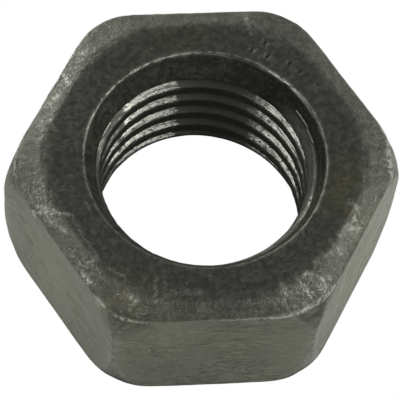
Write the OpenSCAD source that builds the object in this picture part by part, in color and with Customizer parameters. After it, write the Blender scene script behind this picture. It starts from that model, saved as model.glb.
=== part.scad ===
// Hex nut with a coarse right-hand metric thread, hot-forged pattern.
// The thread axis is +Z. The origin is the centre of the lower bearing face,
// and two corners of the hexagon lie on the X axis.

/* [Hexagon] */
// Width across the flats
across_flats = 46; // [44:0.5:48]
// Height between the two bearing faces
nut_height = 22.7; // [20:0.1:25]

/* [Bearing faces] */
// Upper bearing face, measured across the flats
top_face_flats = 40.8; // [39:0.2:43]
// Upper bearing face, measured across the corners
top_face_round = 42; // [40:0.2:44]
// Lower bearing face, measured across the flats
bottom_face_flats = 41.6; // [39:0.2:43]
// Lower bearing face, measured across the corners
bottom_face_round = 42.8; // [40:0.2:44]

/* [Bevels and corners] */
// Fall of the upper bevel, from the bearing face to the flats
top_bevel = 1.25; // [0.6:0.05:2]
// Rise of the lower bevel, from the bearing face to the flats
bottom_bevel = 1; // [0.6:0.05:2]
// Diameter over the chamfered corners where the upper bevel ends
top_corner_d = 50.3; // [48.5:0.1:51.5]
// Height of the upper corner chamfer, from the bearing face
top_corner_len = 4.8; // [3:0.1:7]
// Diameter over the chamfered corners where the lower bevel ends
bottom_corner_d = 49.6; // [48.5:0.1:51.5]
// Height of the lower corner chamfer, from the bearing face
bottom_corner_len = 8.4; // [3:0.1:10]

/* [Thread] */
// Nominal thread diameter, at the roots of the internal thread
thread_d = 30; // [29:0.1:30.6]
// Thread pitch
pitch = 3.5; // [3.5:0.1:4]
// Opening across the thread crests
crest_d = 27.4; // [27.2:0.1:27.8]
// Height of a crest's centre above the lower face, on the +X side
crest_start = 1.6; // [0:0.1:3.4]

/* [Countersinks] */
// Diameter of the upper countersink at the bearing face
top_sink_d = 32; // [31:0.1:33.5]
// Diameter of the lower countersink at the bearing face
bottom_sink_d = 31.8; // [31:0.1:33.5]
// Included angle of both countersinks
sink_angle = 60; // [55:1:75]

/* [Hidden] */

// sides of the round surfaces, and thread steps in one turn
round_sides = 128;
thread_steps = 32;

// circumscribed radius of a hexagon from its width across the flats
function corner_r(flats) = flats / 2 / cos(30);

full_corner = corner_r(across_flats);

// the hexagonal body, with a flat bevel falling to each side
module hexagon_body() {
    rotate_extrude($fn = 6)
        polygon([
            [0, 0],
            [corner_r(bottom_face_flats), 0],
            [full_corner, bottom_bevel],
            [full_corner, nut_height - top_bevel],
            [corner_r(top_face_flats), nut_height],
            [0, nut_height]
        ]);
}

// slopes of the two corner chamfers, in radius per height, and where they would meet outside the corners
top_slope = (full_corner - top_corner_d / 2) / (top_corner_len - top_bevel);
bottom_slope = (full_corner - bottom_corner_d / 2) / (bottom_corner_len - bottom_bevel);
meet_z = (top_corner_d / 2 - bottom_corner_d / 2 + top_slope * (nut_height - top_bevel) + bottom_slope * bottom_bevel)
       / (top_slope + bottom_slope);
meet_r = bottom_corner_d / 2 + bottom_slope * (meet_z - bottom_bevel);

// the turned envelope that takes the corners off the hexagon
module turned_envelope() {
    rotate_extrude($fn = round_sides)
        polygon([
            [0, 0],
            [bottom_face_round / 2, 0],
            [bottom_corner_d / 2, bottom_bevel],
            [meet_r, meet_z],
            [top_corner_d / 2, nut_height - top_bevel],
            [top_face_round / 2, nut_height],
            [0, nut_height]
        ]);
}

// one countersink, opening upward, with its mouth at z = 0
module countersink(mouth_d) {
    over = 1;
    wall = tan(sink_angle / 2);
    depth = (mouth_d / 2 - crest_d / 2) / wall + 1.5;
    translate([0, 0, -depth])
        cylinder(h = depth + over, r1 = mouth_d / 2 - depth * wall, r2 = mouth_d / 2 + over * wall, $fn = round_sides);
}

// Thread groove: a 60 degree form swept up a helix. The roots are an eighth of the pitch wide.
form_inner_r = crest_d / 2 - 0.6;
root_half = pitch / 16;
inner_half = root_half + (thread_d / 2 - form_inner_r) * tan(30);
groove_form = [
    [form_inner_r, -inner_half],
    [thread_d / 2, -root_half],
    [thread_d / 2, root_half],
    [form_inner_r, inner_half]
];
first_step = -floor(1.5 * thread_steps);
last_step = ceil((nut_height / pitch + 0.75) * thread_steps);
ring_count = last_step - first_step + 1;

function groove_point(step, form) =
    let (turn = step / thread_steps)
    [form[0] * cos(360 * turn), form[0] * sin(360 * turn), form[1] + crest_start + pitch / 2 + pitch * turn];

module thread_groove() {
    sides = len(groove_form);
    points = [for (s = [first_step : last_step]) for (f = groove_form) groove_point(s, f)];
    walls = [
        for (k = [0 : ring_count - 2]) for (j = [0 : sides - 1])
            let (a = k * sides + j, b = k * sides + (j + 1) % sides, c = b + sides, d = a + sides)
            for (face = [[a, b, c], [a, c, d]]) face
    ];
    start_cap = [for (j = [sides - 1 : -1 : 0]) j];
    end_cap = [for (j = [0 : sides - 1]) (ring_count - 1) * sides + j];
    polyhedron(points = points, faces = concat(walls, [start_cap, end_cap]), convexity = 10);
}

module hex_nut() {
    color([0.27, 0.28, 0.25])
        difference() {
            intersection() {
                hexagon_body();
                turned_envelope();
            }
            translate([0, 0, -1]) cylinder(h = nut_height + 2, d = crest_d, $fn = round_sides);
            translate([0, 0, nut_height]) countersink(top_sink_d);
            rotate([180, 0, 0]) countersink(bottom_sink_d);
            thread_groove();
        }
}

hex_nut();
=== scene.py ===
import math

import bpy
import numpy as np
from mathutils import Matrix, Vector


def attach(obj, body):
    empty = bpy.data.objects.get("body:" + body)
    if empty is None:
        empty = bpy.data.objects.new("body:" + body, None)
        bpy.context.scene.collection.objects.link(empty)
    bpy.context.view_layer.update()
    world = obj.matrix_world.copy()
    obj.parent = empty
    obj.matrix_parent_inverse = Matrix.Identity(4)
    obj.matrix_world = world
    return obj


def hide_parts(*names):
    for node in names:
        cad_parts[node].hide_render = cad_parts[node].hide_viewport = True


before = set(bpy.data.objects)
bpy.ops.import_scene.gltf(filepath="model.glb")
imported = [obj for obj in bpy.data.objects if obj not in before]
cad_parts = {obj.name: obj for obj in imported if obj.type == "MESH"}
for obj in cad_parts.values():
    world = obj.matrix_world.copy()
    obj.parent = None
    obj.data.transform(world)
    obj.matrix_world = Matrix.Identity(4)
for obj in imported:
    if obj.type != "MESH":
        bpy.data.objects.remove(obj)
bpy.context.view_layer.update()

# ---------------------------------------------------------------- sizes, in millimetres (the same as the CAD part)
AF = 46.0
H = 22.7
TOP_FLATS, TOP_ROUND = 40.8, 42.0
BOT_FLATS, BOT_ROUND = 41.6, 42.8
TOP_BEVEL, BOT_BEVEL = 1.25, 1.0
TOP_CORNER, TOP_LEN = 50.3, 4.8
BOT_CORNER, BOT_LEN = 49.6, 8.4
ROOT_R, CREST_R, PITCH, START = 15.0, 13.7, 3.5, 1.6
SINK_TOP, SINK_BOT = 16.0, 15.9
TAN30 = math.tan(math.radians(30))
FULL = AF / 2 / math.cos(math.radians(30))


# ---------------------------------------------------------------- seeded noise on a lattice
def lattice(ix, iy, iz, seed):
    h = (ix.astype(np.int64) * 374761393 + iy.astype(np.int64) * 668265263 + iz.astype(np.int64) * 2147483647 + seed * 1274126177) & 0xFFFFFFFF
    h = ((h ^ (h >> 13)) * 1274126177) & 0xFFFFFFFF
    h = ((h ^ (h >> 16)) * 2246822519) & 0xFFFFFFFF
    return ((h ^ (h >> 15)) & 0xFFFFFF).astype(float) / 0xFFFFFF * 2 - 1


def vnoise(x, y, z, seed):
    """Smooth noise from -1 to 1."""
    fx, fy, fz = np.floor(x), np.floor(y), np.floor(z)
    u, v, w = x - fx, y - fy, z - fz
    u, v, w = (t * t * t * (t * (t * 6 - 15) + 10) for t in (u, v, w))
    ix, iy, iz = fx.astype(np.int64), fy.astype(np.int64), fz.astype(np.int64)
    out = 0
    for a in (0, 1):
        for b in (0, 1):
            for c in (0, 1):
                k = (u if a else 1 - u) * (v if b else 1 - v) * (w if c else 1 - w)
                out = out + k * lattice(ix + a, iy + b, iz + c, seed)
    return out


def fbm(x, y, z, seed, octaves=3, gain=0.5):
    out, amp, f, total = 0, 1.0, 1.0, 0.0
    for o in range(octaves):
        out = out + amp * vnoise(x * f + 17.3 * o, y * f - 9.1 * o, z * f + 4.7 * o, seed + o)
        total += amp
        amp *= gain
        f *= 2.03
    return out / total


def step(lo, hi, x):
    t = np.clip((x - lo) / (hi - lo), 0, 1)
    return t * t * (3 - 2 * t)


def smax(a, b, h):
    d = np.clip(h - np.abs(a - b), 0, None)
    return np.maximum(a, b) + d * d / (4 * h)


# ---------------------------------------------------------------- the body as one rounded solid
FLAT_DIR = [math.radians(-90 + 60 * k) for k in range(6)]
CORNER_TOP = {0: -0.45, 60: -0.1, 120: 0.0, 180: -0.05, 240: 0.2, 300: -0.25}
CORNER_BOT = {0: 0.2, 60: 0.0, 120: 0.0, 180: 0.3, 240: 0.1, 300: 0.1}


def per_corner(a, table):
    out = 0
    for deg, v in table.items():
        d = np.abs((a - math.radians(deg) + math.pi) % (2 * math.pi) - math.pi)
        out = out + v * np.cos(np.clip(d * 3, 0, math.pi / 2)) ** 2
    return out


def cone(r, z, r1, z1, r2, z2):
    """Signed distance to the cone through two profile points, positive above or outside."""
    n = np.hypot(r2 - r1, z2 - z1)
    return ((z2 - z1) * (r - r1) - (r2 - r1) * (z - z1)) / n


def parts(P):
    x, y, z = P[:, 0], P[:, 1], P[:, 2]
    r, a = np.hypot(x, y), np.arctan2(y, x)
    d = np.stack([x * math.cos(t) + y * math.sin(t) - AF / 2 for t in FLAT_DIR])
    ds = np.sort(d, axis=0)
    side = smax(ds[-1], ds[-2], 0.10)
    ct, cb = per_corner(a, CORNER_TOP), per_corner(a, CORNER_BOT)
    top_cone = cone(r, z, FULL + ct, H - TOP_LEN, TOP_CORNER / 2 + ct, H - TOP_BEVEL)
    n = math.hypot(BOT_CORNER / 2 - FULL, BOT_LEN - BOT_BEVEL)
    bot_cone = ((BOT_LEN - BOT_BEVEL) * (r - BOT_CORNER / 2 - cb) - (FULL - BOT_CORNER / 2) * (z - BOT_BEVEL)) / n
    run = (AF - TOP_FLATS) / 2
    n = math.hypot(run, TOP_BEVEL)
    bev = (smax(ds[-1], ds[-2], 0.5) + run) * TOP_BEVEL / n + (z - H) * run / n
    rnd = ((r - TOP_ROUND / 2) * TOP_BEVEL + (z - H) * (TOP_CORNER - TOP_ROUND) / 2) / math.hypot(TOP_BEVEL, (TOP_CORNER - TOP_ROUND) / 2)
    run = (AF - BOT_FLATS) / 2
    n = math.hypot(run, BOT_BEVEL)
    bevb = (smax(ds[-1], ds[-2], 0.5) + run) * BOT_BEVEL / n - z * run / n
    rndb = ((r - BOT_ROUND / 2) * BOT_BEVEL - z * (BOT_CORNER - BOT_ROUND) / 2) / math.hypot(BOT_BEVEL, (BOT_CORNER - BOT_ROUND) / 2)
    sink_t = (SINK_TOP - (H - z) * TAN30 - r) * math.cos(math.radians(30))
    sink_b = (SINK_BOT - z * TAN30 - r) * math.cos(math.radians(30))
    return dict(a=a, r=r, z=z, side=side, d1=ds[-1], d2=ds[-2], top_cone=top_cone, bot_cone=bot_cone, bev=bev, rnd=rnd,
                top=z - H, bevb=bevb, rndb=rndb, bot=-z, sink_t=sink_t, sink_b=sink_b)


def outer(q):
    turned = smax(smax(q["top_cone"], q["bot_cone"], 1.5), (q["r"] - 26.42) * 0.97, 0.9)
    h = 0.07 + 0.95 * step(19.0, 21.6, q["z"]) + 0.75 * step(5.5, 1.2, q["z"])
    return smax(q["side"], turned, h)


def upper(q):
    return smax(smax(q["bev"], q["rnd"], 0.14), q["top"], 0.11)


def lower(q):
    return smax(smax(q["bevb"], q["rndb"], 0.5), q["bot"], 0.4)


def solid(P):
    q = parts(P)
    wear = 0.22 + 0.12 * vnoise(q["a"] * 9, q["a"] * 0, q["a"] * 0, 5) + 0.07 * vnoise(q["a"] * 31, q["a"] * 0, q["a"] * 0, 6)
    g = smax(outer(q), upper(q), wear)
    g = smax(g, lower(q), 0.5)
    g = smax(g, q["sink_t"], 0.30 + 0.30 * np.exp(-(((np.degrees(q["a"]) - 45) / 32) ** 2)))
    return smax(g, q["sink_b"], 0.35)


def gradient(P, e=0.004):
    g0 = solid(P)
    G = np.empty_like(P)
    for i in range(3):
        Q = P.copy()
        Q[:, i] += e
        G[:, i] = (solid(Q) - g0) / e
    return g0, G


# ---------------------------------------------------------------- columns round the axis, samples along the profile
SECT = 72
u = np.arange(SECT) / SECT
u = u - 0.05 * np.sin(2 * np.pi * u)
ang = np.concatenate([np.radians(60) * (k + u) for k in range(6)])
NA = len(ang)
delta = (ang + math.radians(30)) % math.radians(60) - math.radians(30)      # from the nearest corner
delta = math.radians(30) - np.abs(delta)                                     # from the nearest mid-flat
cosd = np.cos(delta)


def spread(n, edge_lo, edge_hi):
    """n+1 values from 0 to 1, closer together near the ends asked for."""
    t = np.linspace(0, 1, n + 1)
    if edge_lo and edge_hi:
        return 0.5 - 0.5 * np.cos(np.pi * t) if edge_lo > 1 else 0.6 * t + 0.4 * (0.5 - 0.5 * np.cos(np.pi * t))
    return 1 - np.cos(np.pi / 2 * t) if edge_lo else (np.sin(np.pi / 2 * t) if edge_hi else t)


rows = []      # (kind, r over columns, z over columns)


def add(kind, r1, z1, r2, z2, ts):
    for t in ts:
        rows.append((kind, r1 + (r2 - r1) * t, z1 + (z2 - z1) * t))


one = np.ones(NA)
r_edge_t = np.minimum(AF / 2 / cosd, TOP_CORNER / 2)
r_face_t = np.minimum(TOP_FLATS / 2 / cosd, TOP_ROUND / 2)
r_edge_b = np.minimum(AF / 2 / cosd, BOT_CORNER / 2)
r_face_b = np.minimum(BOT_FLATS / 2 / cosd, BOT_ROUND / 2)
# outer side, bottom to top, with extra samples close to both edges
zs = np.concatenate([[0, 0.12, 0.28, 0.5, 0.8, 1.15], 1.15 + spread(26, 0, 0)[1:-1] * (H - TOP_BEVEL - BOT_BEVEL - 2.3),
                     [H - TOP_BEVEL - BOT_BEVEL - v for v in (1.15, 0.8, 0.5, 0.28, 0.12)]]) + BOT_BEVEL
for z in zs:
    rc = np.minimum(FULL + 0 * one, np.minimum(TOP_CORNER / 2 + (FULL - TOP_CORNER / 2) * (H - TOP_BEVEL - z) / (TOP_LEN - TOP_BEVEL),
                                               BOT_CORNER / 2 + (FULL - BOT_CORNER / 2) * (z - BOT_BEVEL) / (BOT_LEN - BOT_BEVEL)))
    rows.append(("side", np.minimum(AF / 2 / cosd, rc), z * one))
add("bevel", r_edge_t, (H - TOP_BEVEL) * one, r_face_t, H * one, [0, 0.04, 0.1, 0.18, 0.28, 0.39, 0.5, 0.61, 0.71, 0.8, 0.87, 0.93, 0.97])
add("face", r_face_t, H * one, SINK_TOP * one, H * one, [0, 0.03, 0.07, 0.13, 0.2, 0.27, 0.34, 0.41, 0.48, 0.55, 0.62, 0.69, 0.76, 0.83, 0.89, 0.94, 0.97, 0.985])
# inner wall, top to bottom
zi = H - np.concatenate([[0, 0.06, 0.14, 0.25, 0.4, 0.6, 0.85], np.linspace(1.1, H - 1.0, 136), [H - 0.75, H - 0.5, H - 0.3, H - 0.15, H - 0.05]])


def thread_r(a, z):
    """Radius of the threaded wall: worn crests, torn flanks, and both countersinks."""
    lead = PITCH * a / (2 * math.pi)
    w = (z - START - lead) / PITCH
    turn = np.round(w)
    s = (w - turn) * PITCH
    # the angle along the helix, unrolled, so that a tear on one turn doesn't repeat on the next
    along = (a + 2 * math.pi * turn) * CREST_R
    tear = fbm(along * 0.55, turn * 3.7, 0 * a, 21, 3)
    rag = vnoise(along * 1.9, turn * 5.1, np.sign(s) * 3.0, 31)
    half = 0.74 + 0.05 * tear
    crest = CREST_R + 0.03 + 0.07 * step(0.15, 0.6, tear) + 0.03 * rag
    flank = crest + (np.abs(s) - half) / TAN30
    flank = flank + 0.022 * vnoise(along * 0.9, s * 2.2, turn * 7.7, 41) + 0.012 * vnoise(along * 3.5, s * 1.3, turn * 7.7, 43)
    prof = smax(crest, flank, 0.09)
    prof = -smax(-prof, -(ROOT_R - 0.01 + 0.02 * tear), 0.12)
    return prof


def wall_r(a, z):
    t = thread_r(a, z)
    sink = SINK_TOP - (H - z) * TAN30 + 0.03 * fbm(a * 4, z * 0.6, 0 * a, 51, 3)
    sinkb = SINK_BOT - z * TAN30 + 0.03 * fbm(a * 4, z * 0.6, 0 * a, 53, 3)
    return smax(smax(t, sink, 0.25), sinkb, 0.25)


for z in zi:
    sharp = np.maximum(wall_r(ang, z * one), 0)
    if z > H - 1.2:
        sharp = SINK_TOP - (H - z) * TAN30 + 0 * one
    elif z < 1.2:
        sharp = SINK_BOT - z * TAN30 + 0 * one
    rows.append(("wall", sharp, z * one))
add("faceb", SINK_BOT * one, 0 * one, r_face_b, 0 * one, [0.02, 0.06, 0.15, 0.3, 0.45, 0.6, 0.75, 0.88, 0.95])
add("bevelb", r_face_b, 0 * one, r_edge_b, BOT_BEVEL * one, [0, 0.06, 0.2, 0.4, 0.6, 0.8, 0.93])
NS = len(rows)
kind = np.array([k for k, _, _ in rows])
R = np.stack([r for _, r, _ in rows])
Z = np.stack([z for _, _, z in rows])
A = np.broadcast_to(ang, R.shape)
P = np.stack([R * np.cos(A), R * np.sin(A), Z], axis=-1).reshape(-1, 3)
row_kind = np.repeat(kind, NA)
deep = (row_kind == "wall") & (P[:, 2] < H - 1.2) & (P[:, 2] > 1.2)
for _ in range(5):
    g, G = gradient(P[~deep])
    m = (G * G).sum(1)
    P[~deep] -= G * (g / np.maximum(m, 0.2))[:, None] * 0.9

# ---------------------------------------------------------------- forging waves, dents, nicks
_, G = gradient(P)
nrm = G / np.linalg.norm(G, axis=1)[:, None]
x, y, z = P.T
q = parts(P)
on_side = step(-0.6, 0.0, outer(q) - upper(q)) * step(-0.6, 0.0, outer(q) - lower(q))
on_face = step(0.3, 0.0, np.abs(q["top"])) * step(0.4, 0.1, np.maximum(q["bev"], q["rnd"]) - q["top"])
disp = 0.050 * fbm(x * 0.16, y * 0.16, z * 0.16, 61, 2) + 0.020 * fbm(x * 0.55, y * 0.55, z * 0.55, 71, 3)
disp += on_side * 0.03 * fbm(x * 0.9, y * 0.9, z * 0.25, 81, 3)
disp *= np.where(deep, 0.0, 1.0)
# knocks from handling: centre, radius and depth in millimetres
DENTS = [
    (-15.8, -14.2, 22.5, 0.55, 0.10), (-15.1, -14.7, 22.5, 0.45, 0.08), (-16.5, -16.6, 21.7, 0.70, 0.16), (-16.1, -15.7, 22.0, 0.50, 0.10),
    (-15.7, 17.4, 21.8, 0.60, 0.14),
    (-23.0, -6.1, 12.1, 0.90, 0.14), (-21.9, -8.2, 13.5, 0.70, 0.08), (-21.3, -9.3, 10.5, 0.80, 0.07), (12.1, -17.3, 22.6, 0.50, 0.08),
    (14.2, -18.2, 22.1, 0.60, 0.12), (14.0, -19.3, 21.8, 0.50, 0.10), (-10.7, -19.7, 22.3, 0.80, 0.08), (-7.2, -18.5, 22.7, 0.50, 0.06),
    (19.3, -8.4, 22.4, 0.60, 0.08), (20.4, -9.6, 22.0, 0.50, 0.08), (24.3, -1.5, 21.7, 0.80, 0.12), (-20.8, 6.7, 22.2, 0.60, 0.09),
    (-18.6, 13.0, 21.7, 0.60, 0.10), (-9.2, -23.0, 18.2, 1.20, 0.06), (3.1, -23.0, 16.2, 1.40, 0.06), (8.5, -23.0, 9.0, 1.60, 0.05),
    (20.9, -9.8, 8.0, 1.20, 0.07), (18.2, -14.2, 14.0, 1.10, 0.06), (-17.3, -15.2, 6.0, 1.40, 0.07),
]
for cx, cy, cz, rad, depth in DENTS:
    d2 = ((P - np.array([cx, cy, cz])) ** 2).sum(1) / rad**2
    disp -= depth * np.exp(-d2 * 1.6)


def on_top(az, r0, tangential, radial):
    """Position on the bearing face: azimuth in degrees and radius, then offsets in millimetres."""
    t = math.radians(az)
    return (r0 + radial) * math.cos(t) - tangential * math.sin(t), (r0 + radial) * math.sin(t) + tangential * math.cos(t)


def bar(x1, y1, x2, y2):
    """Distance in the plane to a straight stroke."""
    ex, ey = x2 - x1, y2 - y1
    t = np.clip(((P[:, 0] - x1) * ex + (P[:, 1] - y1) * ey) / (ex * ex + ey * ey), 0, 1)
    return np.hypot(P[:, 0] - x1 - t * ex, P[:, 1] - y1 - t * ey)


# plain batch marks: three punch dots in a triangle and a pair beside them
mark = np.full(len(P), 9.0)
for az, tang, rad in ((62, -1.15, -0.7), (62, 1.15, -0.7), (62, 0.0, 1.0), (46, -0.9, 0.0), (46, 0.9, 0.0)):
    cx, cy = on_top(az, 18.5, tang, rad)
    mark = np.minimum(mark, np.hypot(P[:, 0] - cx, P[:, 1] - cy) - 0.10)
top_only = (P[:, 2] > H - 1.4) & (row_kind != "wall")
mark = np.where(top_only, mark, 9.0)
disp -= 0.22 * np.exp(-((np.maximum(mark, 0) / 0.32) ** 2)) - 0.03 * np.exp(-(((mark - 0.60) / 0.16) ** 2))
P = P + nrm * disp[:, None]
P[:, 2] = np.clip(P[:, 2], 0.0, H)

# ---------------------------------------------------------------- mesh
idx = np.arange(NS * NA).reshape(NS, NA)
nx = np.roll(idx, -1, axis=1)
up = np.roll(idx, -1, axis=0)
upn = np.roll(nx, -1, axis=0)
quads = np.stack([idx, nx, upn, up], axis=-1).reshape(-1, 4)
mesh = bpy.data.meshes.new("nut_body")
V = P * 0.001
mesh.vertices.add(len(V))
mesh.vertices.foreach_set("co", V.astype(np.float32).ravel())
mesh.loops.add(quads.size)
mesh.loops.foreach_set("vertex_index", quads.astype(np.int32).ravel())
mesh.polygons.add(len(quads))
mesh.polygons.foreach_set("loop_start", (np.arange(len(quads)) * 4).astype(np.int32))
mesh.polygons.foreach_set("loop_total", np.full(len(quads), 4, np.int32))
mesh.polygons.foreach_set("use_smooth", np.ones(len(quads), bool))
mesh.update(calc_edges=True)
mesh.validate()

q = parts(P)
lead = PITCH * np.arctan2(P[:, 1], P[:, 0]) / (2 * math.pi)
w = (P[:, 2] - START - lead) / PITCH
s = np.abs((w - np.round(w)) * PITCH)
in_wall = (row_kind == "wall").astype(float)
below = step(0.0, 0.5, q["r"] * 0 + (SINK_TOP - (H - P[:, 2]) * TAN30 < q["r"] - 0.06))
masks = {
    "edge_top": np.exp(-(((outer(q) - upper(q)) / 0.30) ** 2)) * (1 - in_wall),
    "edge_bot": np.exp(-(((outer(q) - lower(q)) / 0.35) ** 2)) * (1 - in_wall),
    "edge_rim": np.exp(-(((q["top"] - q["sink_t"]) / 0.20) ** 2)) * (q["r"] < 17.5) * (P[:, 2] > H - 1.5),
    "edge_face": np.exp(-(((np.maximum(q["bev"], q["rnd"]) - q["top"]) / 0.22) ** 2)) * (1 - in_wall) * (P[:, 2] > H / 2),
    "corner": np.exp(-(((q["d1"] - q["d2"]) / 1.2) ** 2)) * on_side * (1 - in_wall),
    "face": on_face * (1 - in_wall),
    "side": on_side * (1 - in_wall),
    "thread": in_wall * below,
    "crest": in_wall * below * step(0.95, 0.70, s),
    "flank": in_wall * below * step(0.36, 0.52, s) * step(1.68, 1.56, s),
    "sink": in_wall * (1 - below),
}


def patch(spots):
    v = 0
    for cx, cy, cz, rad, amp in spots:
        v = v + amp * np.exp(-((P - np.array([cx, cy, cz])) ** 2).sum(1) / rad**2)
    return v


on_skin = (row_kind != "wall").astype(float)
masks["scuffed"] = on_skin * patch([
    (11.3, -19.4, 22.3, 3.2, 1.0), (14.6, -17.6, 22.2, 2.6, 1.0), (8.5, -20.8, 22.2, 1.8, 0.6), (18.0, -12.5, 22.2, 3.0, 0.55),
    (19.8, -8.8, 22.3, 2.8, 0.6), (-20.8, -6.8, 22.2, 2.6, 1.0), (-22.6, -4.0, 22.0, 2.4, 0.7),
    (-18.0, -12.0, 22.3, 2.8, 0.6), (-16.0, -15.5, 22.2, 2.4, 0.8), (-11.0, -19.8, 22.2, 2.6, 0.55), (-6.6, -20.4, 22.3, 1.8, 0.5),
    (-20.6, 7.0, 22.2, 3.0, 0.8), (-18.4, 12.4, 22.0, 3.2, 1.0), (-15.3, 16.6, 22.0, 2.6, 1.0), (-10.0, 19.5, 22.1, 2.6, 0.4),
    (17.5, 10.5, 22.2, 2.4, 0.15), (7.2, 20.5, 22.2, 2.0, 0.4)])
masks["ridge"] = masks["edge_top"] * np.clip(patch([
    (9.0, -23.3, 21.4, 2.2, 0.8), (11.8, -21.8, 21.4, 2.2, 1.0), (14.7, -20.2, 21.5, 2.0, 1.0), (24.4, 1.0, 21.6, 3.0, 1.0), (-15.2, -19.9, 21.4, 1.0, 0.7),
    (-11.6, -22.6, 21.4, 3.0, 0.45), (-20.3, 11.4, 21.5, 5.5, 0.55), (-15.6, 18.4, 21.5, 3.0, 0.6), (-24.6, 1.0, 21.6, 3.5, 0.35), (4.0, -23.0, 21.4, 5.0, 0.25)]), 0, 1)
masks["olive"] = on_skin * patch([
    (-11.5, -19.6, 22.2, 3.0, 1.0), (18.0, -4.0, 22.7, 3.2, 0.7), (16.8, -8.0, 22.7, 3.0, 0.5), (1.9, -23.0, 15.0, 3.0, 0.5), (-8.0, -23.0, 17.0, 4.2, 0.6),
    (-20.0, -11.0, 12.0, 6.0, 0.5), (19.5, -12.0, 12.0, 8.0, 0.7), (-3.0, 21.0, 22.2, 5.0, 0.4)])
masks["pale"] = on_skin * patch([(-7.2, -23.0, 16.5, 4.5, 1.0), (-19.0, -13.0, 10.0, 7.0, 0.5)])
STROKES = [
    (-23.0, -6.4, -18.1, -7.7, 0.22, 1.00),
    (-22.4, -5.7, -19.8, -7.1, 0.30, 0.50),
    (-21.1, -7.6, -18.9, -10.0, 0.35, 0.45),
    (-18.0, -8.0, -14.9, -14.2, 0.22, 0.35),
    (-16.6, -14.5, -14.9, -14.2, 0.20, 0.55),
    (-16.9, -15.9, -16.1, -17.1, 0.30, 0.80),
    (-15.4, -19.6, -15.0, -20.3, 0.18, 0.60),
    (6.9, 22.3, 7.4, 18.6, 0.20, 0.60),
    (-13.5, -15.7, -11.6, -16.9, 0.22, 0.50),
    (-7.6, -17.4, -7.8, -20.4, 0.25, 0.50),
    (-6.6, -17.7, -6.5, -20.1, 0.25, 0.40),
    (-11.1, -19.6, -10.2, -20.1, 0.40, 0.70),
    (-5.7, -19.5, -2.1, -19.5, 0.40, 0.40),
    (11.4, -17.6, 12.6, -17.3, 0.30, 0.90),
    (13.9, -17.9, 14.3, -18.6, 0.30, 0.90),
    (13.8, -19.3, 14.1, -19.4, 0.40, 1.00),
    (10.5, -17.8, 12.1, -19.9, 0.30, 0.60),
    (8.5, -18.8, 8.9, -19.9, 0.35, 0.60),
    (13.1, -15.9, 15.2, -14.3, 0.40, 0.60),
    (15.4, -12.8, 16.6, -14.3, 0.35, 0.50),
    (17.3, -10.8, 19.6, -10.8, 0.30, 0.60),
    (18.5, -7.1, 19.4, -8.2, 0.35, 0.50),
    (16.5, -12.3, 17.7, -10.3, 0.40, 0.50),
    (19.0, -9.1, 18.0, -11.5, 0.30, 0.40),
    (24.4, 0.7, 24.5, -2.6, 0.35, 0.90),
    (-16.2, 17.6, -15.2, 16.9, 0.25, 0.70),
    (-18.2, 14.3, -17.3, 11.9, 0.35, 0.60),
    (-20.5, 9.2, -19.0, 10.3, 0.35, 0.60),
    (-20.2, 6.8, -19.6, 5.1, 0.30, 0.50),
    (-21.7, 3.6, -20.8, 5.0, 0.30, 0.40),
    (-16.2, -5.7, -15.4, -7.2, 0.15, 0.35),
    (11.8, -9.0, 11.9, -11.9, 0.15, 0.40),
]
line = np.zeros(len(P))
for x1, y1, x2, y2, wide, amp in STROKES:
    line = np.maximum(line, amp * np.exp(-((bar(x1, y1, x2, y2) / wide) ** 2)))
masks["strokes"] = line * on_skin * (P[:, 2] > H - 2.2)
masks["ridge_line"] = np.exp(-(((outer(q) - upper(q)) / 0.22) ** 2)) * (1 - in_wall) * np.clip(masks["ridge"] * 2.2, 0, 1)
wall_deg = np.degrees(np.arctan2(P[:, 1], P[:, 0]))
masks["lip"] = in_wall * (1 - below) * step(20.6, 20.2, P[:, 2]) * (P[:, 2] > 12) * step(48, 20, wall_deg) * step(-95, -60, wall_deg)
turned = smax(smax(q["top_cone"], q["bot_cone"], 1.5), (q["r"] - 26.42) * 0.97, 0.9) - q["side"]
# painted shade: the turned strips at the corners are made darker than the flats on either side
masks["turned_strip_shade"] = step(-0.16, -0.02, turned) * on_side * (1 - in_wall)
masks["soot"] = on_skin * np.clip(patch([(-12.9, -22.5, 20.0, 2.4, 1.5), (-10.2, -23.0, 20.9, 1.5, 0.9), (12.4, -22.8, 20.2, 1.5, 0.4)])
    * (P[:, 2] < 21.6) + 0.8 * np.exp(-(((upper(q) + 0.24) / 0.14) ** 2)) * on_side * (P[:, 2] > 12), 0, 1)
masks["cut_line"] = np.exp(-((turned / 0.17) ** 2)) * on_side * (1 - in_wall)
deg = wall_deg % 360
# painted highlight: azimuth bands where the thread flanks are made bright, dimmer beyond them and left out at the far
# centre
masks["flank_highlight_zone"] = in_wall * np.maximum.reduce([
    step(95, 105, deg) * step(142, 125, deg), step(66, 48, deg) * step(2, 20, deg), 0.36 * step(128, 140, deg) * step(215, 190, deg),
    0.9 * step(148, 156, deg) * step(200, 185, deg) * step(18.2, 19.0, P[:, 2]), 0.35 * (deg > 215), 0.35 * step(16, 6, deg)])
masks["marked"] = np.exp(-((np.maximum(mark, 0) / 0.28) ** 2)) * top_only
masks["shade"] = in_wall * (1 - below) * step(80, 45, wall_deg) * step(-30, 0, wall_deg)
# painted highlight: the worn rim of the upper countersink is made brighter near azimuths 42 and 125 degrees, where
# highlights fall
masks["rim_lit"] = masks["edge_rim"] * (0.35 + 0.65 * np.clip(
    np.exp(-((((np.degrees(np.arctan2(P[:, 1], P[:, 0])) - 125) + 180) % 360 - 180) / 48) ** 2) + np.exp(-((((np.degrees(np.arctan2(P[:, 1], P[:, 0])) - 42) + 180) % 360 - 180) / 42) ** 2), 0, 1))
for name, v in masks.items():
    at = mesh.attributes.new(name, "FLOAT", "POINT")
    at.data.foreach_set("value", np.clip(v, 0, 1).astype(np.float32))

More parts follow.
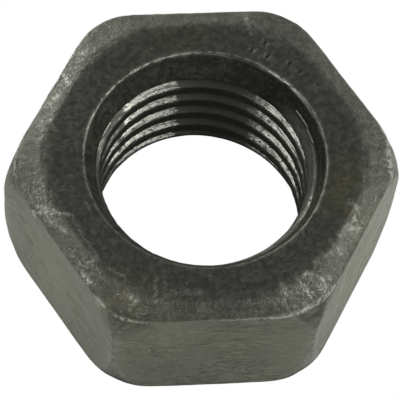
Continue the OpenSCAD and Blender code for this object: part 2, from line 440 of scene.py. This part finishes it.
# unrolled coordinates on the wall, in millimetres: along the helix, and across it
a_ext = np.append(ang, 2 * math.pi)
col = np.arange(len(quads)) % NA
row = np.arange(len(quads)) // NA
corner_a = np.stack([a_ext[col], a_ext[col + 1], a_ext[col + 1], a_ext[col]], axis=1)
corner_z = P[quads, 2]
along = corner_a * CREST_R
across = corner_z - START - PITCH * corner_a / (2 * math.pi)
uvw = np.stack([along, across, np.zeros_like(along)], axis=-1)
at = mesh.attributes.new("helix", "FLOAT_VECTOR", "CORNER")
at.data.foreach_set("vector", uvw.astype(np.float32).ravel())
corner_r = np.hypot(P[quads, 0], P[quads, 1])
polar = np.stack([corner_a * 22.0, corner_r, corner_z], axis=-1)
at = mesh.attributes.new("polar", "FLOAT_VECTOR", "CORNER")
at.data.foreach_set("vector", polar.astype(np.float32).ravel())

nut = bpy.data.objects.new("nut_body", mesh)
bpy.context.collection.objects.link(nut)


# ---------------------------------------------------------------- node helpers
class Tree:
    def __init__(self, tree):
        self.t = tree

    def node(self, kind, inputs=(), **props):
        n = self.t.nodes.new(kind)
        for k, v in props.items():
            setattr(n, k, v)
        for k, v in dict(inputs).items():
            self.put(n.inputs[k], v)
        return n

    def put(self, socket, v):
        if isinstance(v, bpy.types.NodeSocket):
            self.t.links.new(v, socket)
        else:
            socket.default_value = v

    def math(self, op, a, b=None, clamp=False):
        n = self.node("ShaderNodeMath", operation=op, use_clamp=clamp)
        self.put(n.inputs[0], a)
        if b is not None:
            self.put(n.inputs[1], b)
        return n.outputs[0]

    def mul(self, *v):
        out = v[0]
        for k in v[1:]:
            out = self.math("MULTIPLY", out, k)
        return out

    def add(self, *v):
        out = v[0]
        for k in v[1:]:
            out = self.math("ADD", out, k)
        return out

    def attr(self, name):
        return self.node("ShaderNodeAttribute", attribute_name=name).outputs["Fac"]

    def ramp(self, v, lo, hi, to_lo=0.0, to_hi=1.0):
        n = self.node("ShaderNodeMapRange", interpolation_type="SMOOTHSTEP")
        for k, x in (("Value", v), ("From Min", lo), ("From Max", hi), ("To Min", to_lo), ("To Max", to_hi)):
            self.put(n.inputs[k], x)
        return n.outputs[0]

    def scale(self, vec, xyz, offset=(0, 0, 0), rot=(0, 0, 0)):
        n = self.node("ShaderNodeMapping")
        self.put(n.inputs["Vector"], vec)
        n.inputs["Scale"].default_value = xyz
        n.inputs["Location"].default_value = offset
        n.inputs["Rotation"].default_value = rot
        return n.outputs[0]

    def noise(self, vec, scale, detail=3.0, rough=0.55, distortion=0.0):
        n = self.node("ShaderNodeTexNoise")
        self.put(n.inputs["Vector"], vec)
        n.inputs["Scale"].default_value = scale
        n.inputs["Detail"].default_value = detail
        n.inputs["Roughness"].default_value = rough
        n.inputs["Distortion"].default_value = distortion
        return n.outputs["Fac"]

    def mix(self, fac, a, b):
        n = self.node("ShaderNodeMix", data_type="RGBA")
        self.put(n.inputs[0], fac)
        self.put(n.inputs[6], a)
        self.put(n.inputs[7], b)
        return n.outputs[2]

    def lerp(self, fac, a, b):
        n = self.node("ShaderNodeMix", data_type="FLOAT")
        self.put(n.inputs[0], fac)
        self.put(n.inputs[2], a)
        self.put(n.inputs[3], b)
        return n.outputs[0]


# ---------------------------------------------------------------- black oxide over forged steel
mat = bpy.data.materials.new("black_oxide_steel")
mat.use_nodes = True
T = Tree(mat.node_tree)
mat.node_tree.nodes.clear()
out = T.node("ShaderNodeOutputMaterial")
bsdf = T.node("ShaderNodeBsdfPrincipled")
T.t.links.new(bsdf.outputs[0], out.inputs[0])
co = T.node("ShaderNodeTexCoord").outputs["Object"]
mm = T.scale(co, (1000, 1000, 1000))
face, side, thr, flank = T.attr("face"), T.attr("side"), T.attr("thread"), T.attr("flank")
blot = T.noise(mm, 0.13, 4, 0.6)
cloud = T.noise(mm, 0.42, 5, 0.65)
mott = T.noise(mm, 1.15, 4, 0.7)
grain = T.noise(mm, 2.1, 4, 0.75)
polar = T.node("ShaderNodeAttribute", attribute_name="polar").outputs["Vector"]
fibre = T.noise(T.scale(polar, (0.30, 0.2, 2.4)), 1.0, 5, 0.75, 0.6)
crack = T.noise(T.scale(polar, (0.16, 0.1, 0.62)), 1.0, 5, 0.7, 1.6)
fine = T.noise(mm, 4.2, 3, 0.8)
fold = T.mul(T.ramp(T.math("ABSOLUTE", T.math("SUBTRACT", crack, 0.5)), 0.0, 0.036, 1.0, 0.0), T.ramp(blot, 0.42, 0.56), side)
brush = T.noise(T.scale(polar, (1.5, 0.75, 0.4)), 1.0, 4, 0.7, 0.8)
helix = T.node("ShaderNodeAttribute", attribute_name="helix").outputs["Vector"]
tear = T.noise(T.scale(helix, (0.22, 2.2, 1)), 1.0, 5, 0.75)
drag = T.noise(T.scale(helix, (0.8, 6.0, 1)), 1.0, 4, 0.75)
scuffed, olive, ridge = T.attr("scuffed"), T.attr("olive"), T.attr("ridge")
bevel = T.math("SUBTRACT", T.math("SUBTRACT", T.math("SUBTRACT", 1.0, face), side), T.math("MAXIMUM", thr, T.attr("sink")), clamp=True)

# oxide: patchy, with pale rubbed grain on the bevels and flats and a smoother, darker bearing face
base = T.mix(T.ramp(blot, 0.38, 0.62), (0.190, 0.192, 0.140, 1), (0.205, 0.207, 0.180, 1))
base = T.mix(T.ramp(cloud, 0.42, 0.62), base, (0.285, 0.287, 0.235, 1))
base = T.mix(T.ramp(mott, 0.38, 0.62), (0.120, 0.123, 0.102, 1), base)
base = T.mix(T.mul(face, 0.60), base, (0.120, 0.124, 0.104, 1))
base = T.mix(T.mul(side, 0.62), base, (0.238, 0.250, 0.172, 1))
base = T.mix(T.mul(bevel, 0.45), base, (0.195, 0.198, 0.168, 1))
# painted shade on the turned corner strips
base = T.mix(T.mul(T.attr("turned_strip_shade"), 0.85), base, (0.085, 0.087, 0.074, 1))
base = T.mix(T.mul(side, T.ramp(blot, 0.42, 0.58, 0.35, 0.0)), base, (0.130, 0.134, 0.104, 1))
base = T.mix(T.mul(side, T.ramp(fibre, 0.34, 0.60, 0.38, 0.0)), base, (0.110, 0.115, 0.080, 1))
base = T.mix(T.mul(T.attr("soot"), T.ramp(mott, 0.22, 0.46), 0.85), base, (0.060, 0.062, 0.052, 1))
base = T.mix(T.mul(side, T.ramp(mott, 0.42, 0.56, 0.30, 0.0)), base, (0.120, 0.126, 0.088, 1))
base = T.mix(T.mul(fold, 0.62), base, (0.070, 0.073, 0.055, 1))
base = T.mix(T.mul(side, T.ramp(fine, 0.36, 0.50, 0.40, 0.0)), base, (0.100, 0.104, 0.078, 1))
base = T.mix(T.mul(side, T.ramp(fine, 0.54, 0.70, 0.0, 0.35)), base, (0.430, 0.440, 0.340, 1))
base = T.mix(T.mul(bevel, T.ramp(fine, 0.34, 0.48, 0.35, 0.0)), base, (0.085, 0.087, 0.072, 1))
base = T.mix(T.mul(olive, T.ramp(cloud, 0.35, 0.6), 0.55), base, (0.230, 0.215, 0.105, 1))
base = T.mix(T.mul(T.attr("pale"), T.ramp(mott, 0.3, 0.6), 0.35), base, (0.33, 0.33, 0.26, 1))
rubbed = T.mul(T.add(T.mul(T.ramp(brush, 0.46, 0.62), 0.35), T.mul(T.ramp(grain, 0.50, 0.60), T.ramp(fine, 0.40, 0.58), 0.9)), T.add(T.mul(T.ramp(cloud, 0.42, 0.60), 0.24), T.mul(scuffed, 0.80)))
rubbed = T.mul(rubbed, T.add(T.mul(bevel, 1.0), T.mul(side, 0.12), T.mul(face, 0.20)))
scratch = T.ramp(T.noise(T.scale(mm, (0.45, 3.4, 2.0), rot=(0, 0, 0.6)), 1.0, 3, 0.8), 0.62, 0.70)
scratch2 = T.ramp(T.noise(T.scale(mm, (3.2, 0.50, 2.0), rot=(0, 0, 0.35)), 1.0, 3, 0.8), 0.62, 0.70)
scratch3 = T.ramp(T.noise(T.scale(mm, (0.6, 4.0, 2.0), rot=(0, 0, -0.9)), 1.0, 3, 0.8), 0.64, 0.72)
scrapes = T.math("MAXIMUM", T.math("MAXIMUM", scratch, scratch2), scratch3)
scrapes = T.mul(scrapes, T.add(T.mul(scuffed, 0.9), T.mul(T.ramp(T.noise(mm, 0.30, 2, 0.5), 0.48, 0.62), 0.5)), T.add(T.mul(bevel, 1.0), T.mul(side, 0.12), T.mul(face, 0.35)))
speck = T.mul(T.ramp(T.noise(mm, 2.0, 2, 0.5), 0.71, 0.76), T.add(T.mul(bevel, 0.5), T.mul(face, 0.25), T.mul(T.attr("sink"), 0.6)))
# edge wear, together with the painted rim highlight
edge = T.math("MAXIMUM", T.math("MAXIMUM", T.attr("rim_lit"), T.mul(T.attr("edge_top"), 0.16)), T.math("MAXIMUM", T.mul(T.attr("corner"), 0.10), T.mul(T.attr("edge_face"), 0.12)))
wear_and_highlight = T.mul(edge, T.ramp(T.noise(mm, 0.9, 4, 0.8), 0.38, 0.56))
wear_and_highlight = T.math("MAXIMUM", wear_and_highlight, T.mul(T.attr("ridge_line"), T.ramp(grain, 0.36, 0.54)))
wear_and_highlight = T.math("MAXIMUM", wear_and_highlight, T.mul(T.attr("cut_line"), T.ramp(mott, 0.38, 0.62), 0.22))
wear_and_highlight = T.math("MAXIMUM", wear_and_highlight, T.mul(T.attr("strokes"), T.ramp(grain, 0.36, 0.58)))
bare_and_highlight = T.add(wear_and_highlight, T.mul(rubbed, 0.45), T.mul(scrapes, 0.75))
bare_and_highlight = T.math("MINIMUM", T.math("MAXIMUM", bare_and_highlight, speck), 1.0)
# pale bare steel where worn, rubbed or scraped, and the painted rim highlight
base = T.mix(bare_and_highlight, base, (0.80, 0.80, 0.70, 1))
# darker inside the punch dots, and painted shade on the right of the upper countersink, dimming its reflection of the
# left softbox
base = T.mix(T.math("MAXIMUM", T.mul(T.attr("marked"), 0.95), T.mul(T.attr("shade"), 0.65)), base, (0.045, 0.047, 0.040, 1))
rough = T.lerp(T.ramp(mott, 0.3, 0.7), 0.36, 0.48)
rough = T.lerp(bare_and_highlight, rough, 0.34)

# cut thread: painted highlights on the flanks of the left and right walls, broken by torn streaks; dull roots
pit = T.noise(T.scale(helix, (1.6, 5.0, 1)), 1.0, 3, 0.7)
lit = T.mul(flank, T.ramp(T.add(tear, T.mul(T.attr("flank_highlight_zone"), 0.45)), 0.66, 0.74), T.ramp(pit, 0.38, 0.47, 0.15, 1.0), T.ramp(drag, 0.26, 0.46, 0.45, 1.0))
streak = T.noise(T.scale(helix, (0.14, 7.0, 1)), 1.0, 3, 0.7)
lit = T.mul(lit, T.ramp(streak, 0.38, 0.48, 0.30, 1.0))
# faint painted highlight streaks along the thread, strongest inside the highlight bands
lit = T.math("MAXIMUM", lit, T.mul(thr, T.ramp(streak, 0.55, 0.62), T.ramp(drag, 0.42, 0.56), T.add(T.mul(T.attr("flank_highlight_zone"), 0.55), 0.06)))
tbase = T.mix(lit, (0.150, 0.152, 0.130, 1), (0.42, 0.425, 0.375, 1))
base = T.mix(thr, base, tbase)
base = T.mix(T.mul(T.attr("lip"), T.ramp(drag, 0.30, 0.55)), base, (0.34, 0.34, 0.30, 1))
rough = T.lerp(thr, rough, T.lerp(lit, 0.50, T.lerp(T.ramp(drag, 0.3, 0.7), 0.15, 0.27)))
rough = T.lerp(T.attr("sink"), rough, 0.52)
T.put(bsdf.inputs["Base Color"], base)
T.put(bsdf.inputs["Metallic"], T.lerp(T.math("MAXIMUM", T.mul(thr, lit), bare_and_highlight), 0.8, 1.0))
T.put(bsdf.inputs["Roughness"], rough)
bsdf.inputs["Specular Tint"].default_value = (0.92, 0.92, 0.90, 1)
h = T.add(T.mul(cloud, 1.0), T.mul(mott, 0.6), T.mul(grain, 0.16), T.mul(fine, 0.07), T.mul(bare_and_highlight, 0.05), T.mul(side, fibre, 0.30), T.mul(fold, -0.45))
h = T.mul(h, T.add(T.mul(bevel, 0.4), T.mul(face, -0.30), T.mul(scuffed, 0.4), 1.0), T.math("SUBTRACT", 1.0, thr))
b1 = T.node("ShaderNodeBump", {"Height": h})
b1.inputs["Strength"].default_value = 1.0
b1.inputs["Distance"].default_value = 0.00016
th = T.mul(T.add(T.mul(drag, 1.0), T.mul(tear, 1.2)), thr)
b2 = T.node("ShaderNodeBump", {"Height": th, "Normal": b1.outputs[0]})
b2.inputs["Strength"].default_value = 1.0
b2.inputs["Distance"].default_value = 0.00003
T.put(bsdf.inputs["Normal"], b2.outputs[0])
mesh.materials.append(mat)
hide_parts("hex_nut")
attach(nut, "root")

# ---------------------------------------------------------------- pale floor, soft light
def plane(name, z, size, colour, emit):
    m = bpy.data.meshes.new(name)
    m.from_pydata([(-size, -size, z), (size, -size, z), (size, size, z), (-size, size, z)], [], [(0, 1, 2, 3)])
    o = bpy.data.objects.new(name, m)
    bpy.context.collection.objects.link(o)
    k = bpy.data.materials.new(name)
    k.use_nodes = True
    b = k.node_tree.nodes["Principled BSDF"]
    b.inputs["Base Color"].default_value = colour
    b.inputs["Roughness"].default_value = 0.9
    b.inputs["Specular IOR Level"].default_value = 0.1
    b.inputs["Emission Color"].default_value = (1, 1, 1, 1)
    b.inputs["Emission Strength"].default_value = emit
    m.materials.append(k)
    return o


# the sheet that the camera sees is evenly white; the one that throws light up is left out under the nut, where no light reaches it
floor = plane("floor", -0.0002, 6.0, (0.0, 0.0, 0.0, 1), 1.0)
floor.visible_diffuse = floor.visible_glossy = floor.visible_transmission = floor.visible_shadow = False
FLOOR_GLOW = 0.345
bounce = plane("floor_bounce", -0.0001, 0.8, (0.70, 0.70, 0.68, 1), 0.0)
bounce.visible_camera = False
ring = bpy.data.meshes.new("floor_glow")
n_ring = 72
outline = [2 * math.pi * k / n_ring for k in range(n_ring)]
inner = [0.0232 / math.cos((t % (math.pi / 3)) - math.pi / 6) for t in outline]
ring.from_pydata([(i * math.cos(t), i * math.sin(t), 0.0) for i, t in zip(inner, outline)] + [(0.8 * math.cos(t), 0.8 * math.sin(t), 0.0) for t in outline], [],
                 [(k, (k + 1) % n_ring, n_ring + (k + 1) % n_ring, n_ring + k) for k in range(n_ring)])
glow = bpy.data.objects.new("floor_glow", ring)
bpy.context.collection.objects.link(glow)
gm = bpy.data.materials.new("floor_glow")
gm.use_nodes = True
gb = gm.node_tree.nodes["Principled BSDF"]
gb.inputs["Base Color"].default_value = (0.70, 0.70, 0.68, 1)
gb.inputs["Roughness"].default_value = 0.9
gb.inputs["Emission Color"].default_value = (1, 1, 1, 1)
levels = [FLOOR_GLOW * (1 + 0.22 * math.cos(t) + 0.80 * math.cos(t) ** 2) for t in outline] * 2
ga = ring.attributes.new("level", "FLOAT", "POINT")
ga.data.foreach_set("value", levels)
gn = gm.node_tree.nodes.new("ShaderNodeAttribute")
gn.attribute_name = "level"
gm.node_tree.links.new(gn.outputs["Fac"], gb.inputs["Emission Strength"])
ring.materials.append(gm)
glow.visible_camera = False


def softbox(name, azimuth, elevation, w, h, strength, colour=(1, 1, 1), dist=0.6):
    """An even rectangle of light of the given radiance, seen from the nut at this direction; w and h in degrees."""
    a, e = math.radians(azimuth), math.radians(elevation)
    pos = Vector((math.cos(a) * math.cos(e), math.sin(a) * math.cos(e), math.sin(e))) * dist
    l = bpy.data.lights.new(name, "AREA")
    sx, sy = 2 * dist * math.tan(math.radians(w / 2)), 2 * dist * math.tan(math.radians(h / 2))
    l.shape, l.size, l.size_y = "RECTANGLE", sx, sy
    l.energy, l.color = strength * sx * sy * math.pi, colour
    o = bpy.data.objects.new(name, l)
    o.location = pos + Vector((0, 0, 0.0113))
    o.rotation_euler = (-pos).to_track_quat("-Z", "Y").to_euler()
    bpy.context.collection.objects.link(o)
    o.visible_camera = False
    return o


LIGHTS = [
    ("softbox_right", -34, 47, 45, 18, 1.5),
    ("softbox_left", -172, 47, 40, 18, 1.9),
    ("softbox_far_right", 8, 43, 30, 24, 2.3),
    ("softbox_back_left", 121, 25, 40, 24, 2.7),
    ("softbox_back_right", 52, 20, 40, 20, 0.55),
]
for light in LIGHTS:
    softbox(*light)
AMBIENT = 0.075
world = bpy.data.worlds.new("studio")
world.use_nodes = True
world.node_tree.nodes["Background"].inputs[0].default_value = (1, 1, 1, 1)
world.node_tree.nodes["Background"].inputs[1].default_value = AMBIENT
bpy.context.scene.world = world
vs = bpy.context.scene.view_settings
vs.view_transform, vs.look, vs.exposure, vs.gamma = "Standard", "None", 0.0, 1.0

# ---------------------------------------------------------------- camera
EL, AZ, ROLL = math.radians(62.29), math.radians(-9.95), math.radians(6.83)
DIST, FOCAL_PX, CX, CY = 0.414, 3074.0, 200.8, 198.0
fwd = -Vector((math.sin(AZ) * math.cos(EL), -math.cos(AZ) * math.cos(EL), math.sin(EL)))
right = fwd.cross(Vector((0, 0, 1))).normalized()
upv = right.cross(fwd)
r2 = math.cos(ROLL) * right + math.sin(ROLL) * upv
u2 = -math.sin(ROLL) * right + math.cos(ROLL) * upv
eye = Vector((0, 0, 0.01133)) - fwd * DIST
cam = bpy.data.cameras.new("camera")
cam.sensor_width = 36.0
cam.lens = FOCAL_PX * 36.0 / 400
cam.shift_x = -(CX - 200) / 400
cam.shift_y = (CY - 200) / 400
cam.clip_start, cam.clip_end = 0.01, 100
co_ = bpy.data.objects.new("camera", cam)
m = Matrix((r2, u2, -fwd)).transposed().to_4x4()
m.translation = eye
co_.matrix_world = m
bpy.context.collection.objects.link(co_)
bpy.context.scene.camera = co_
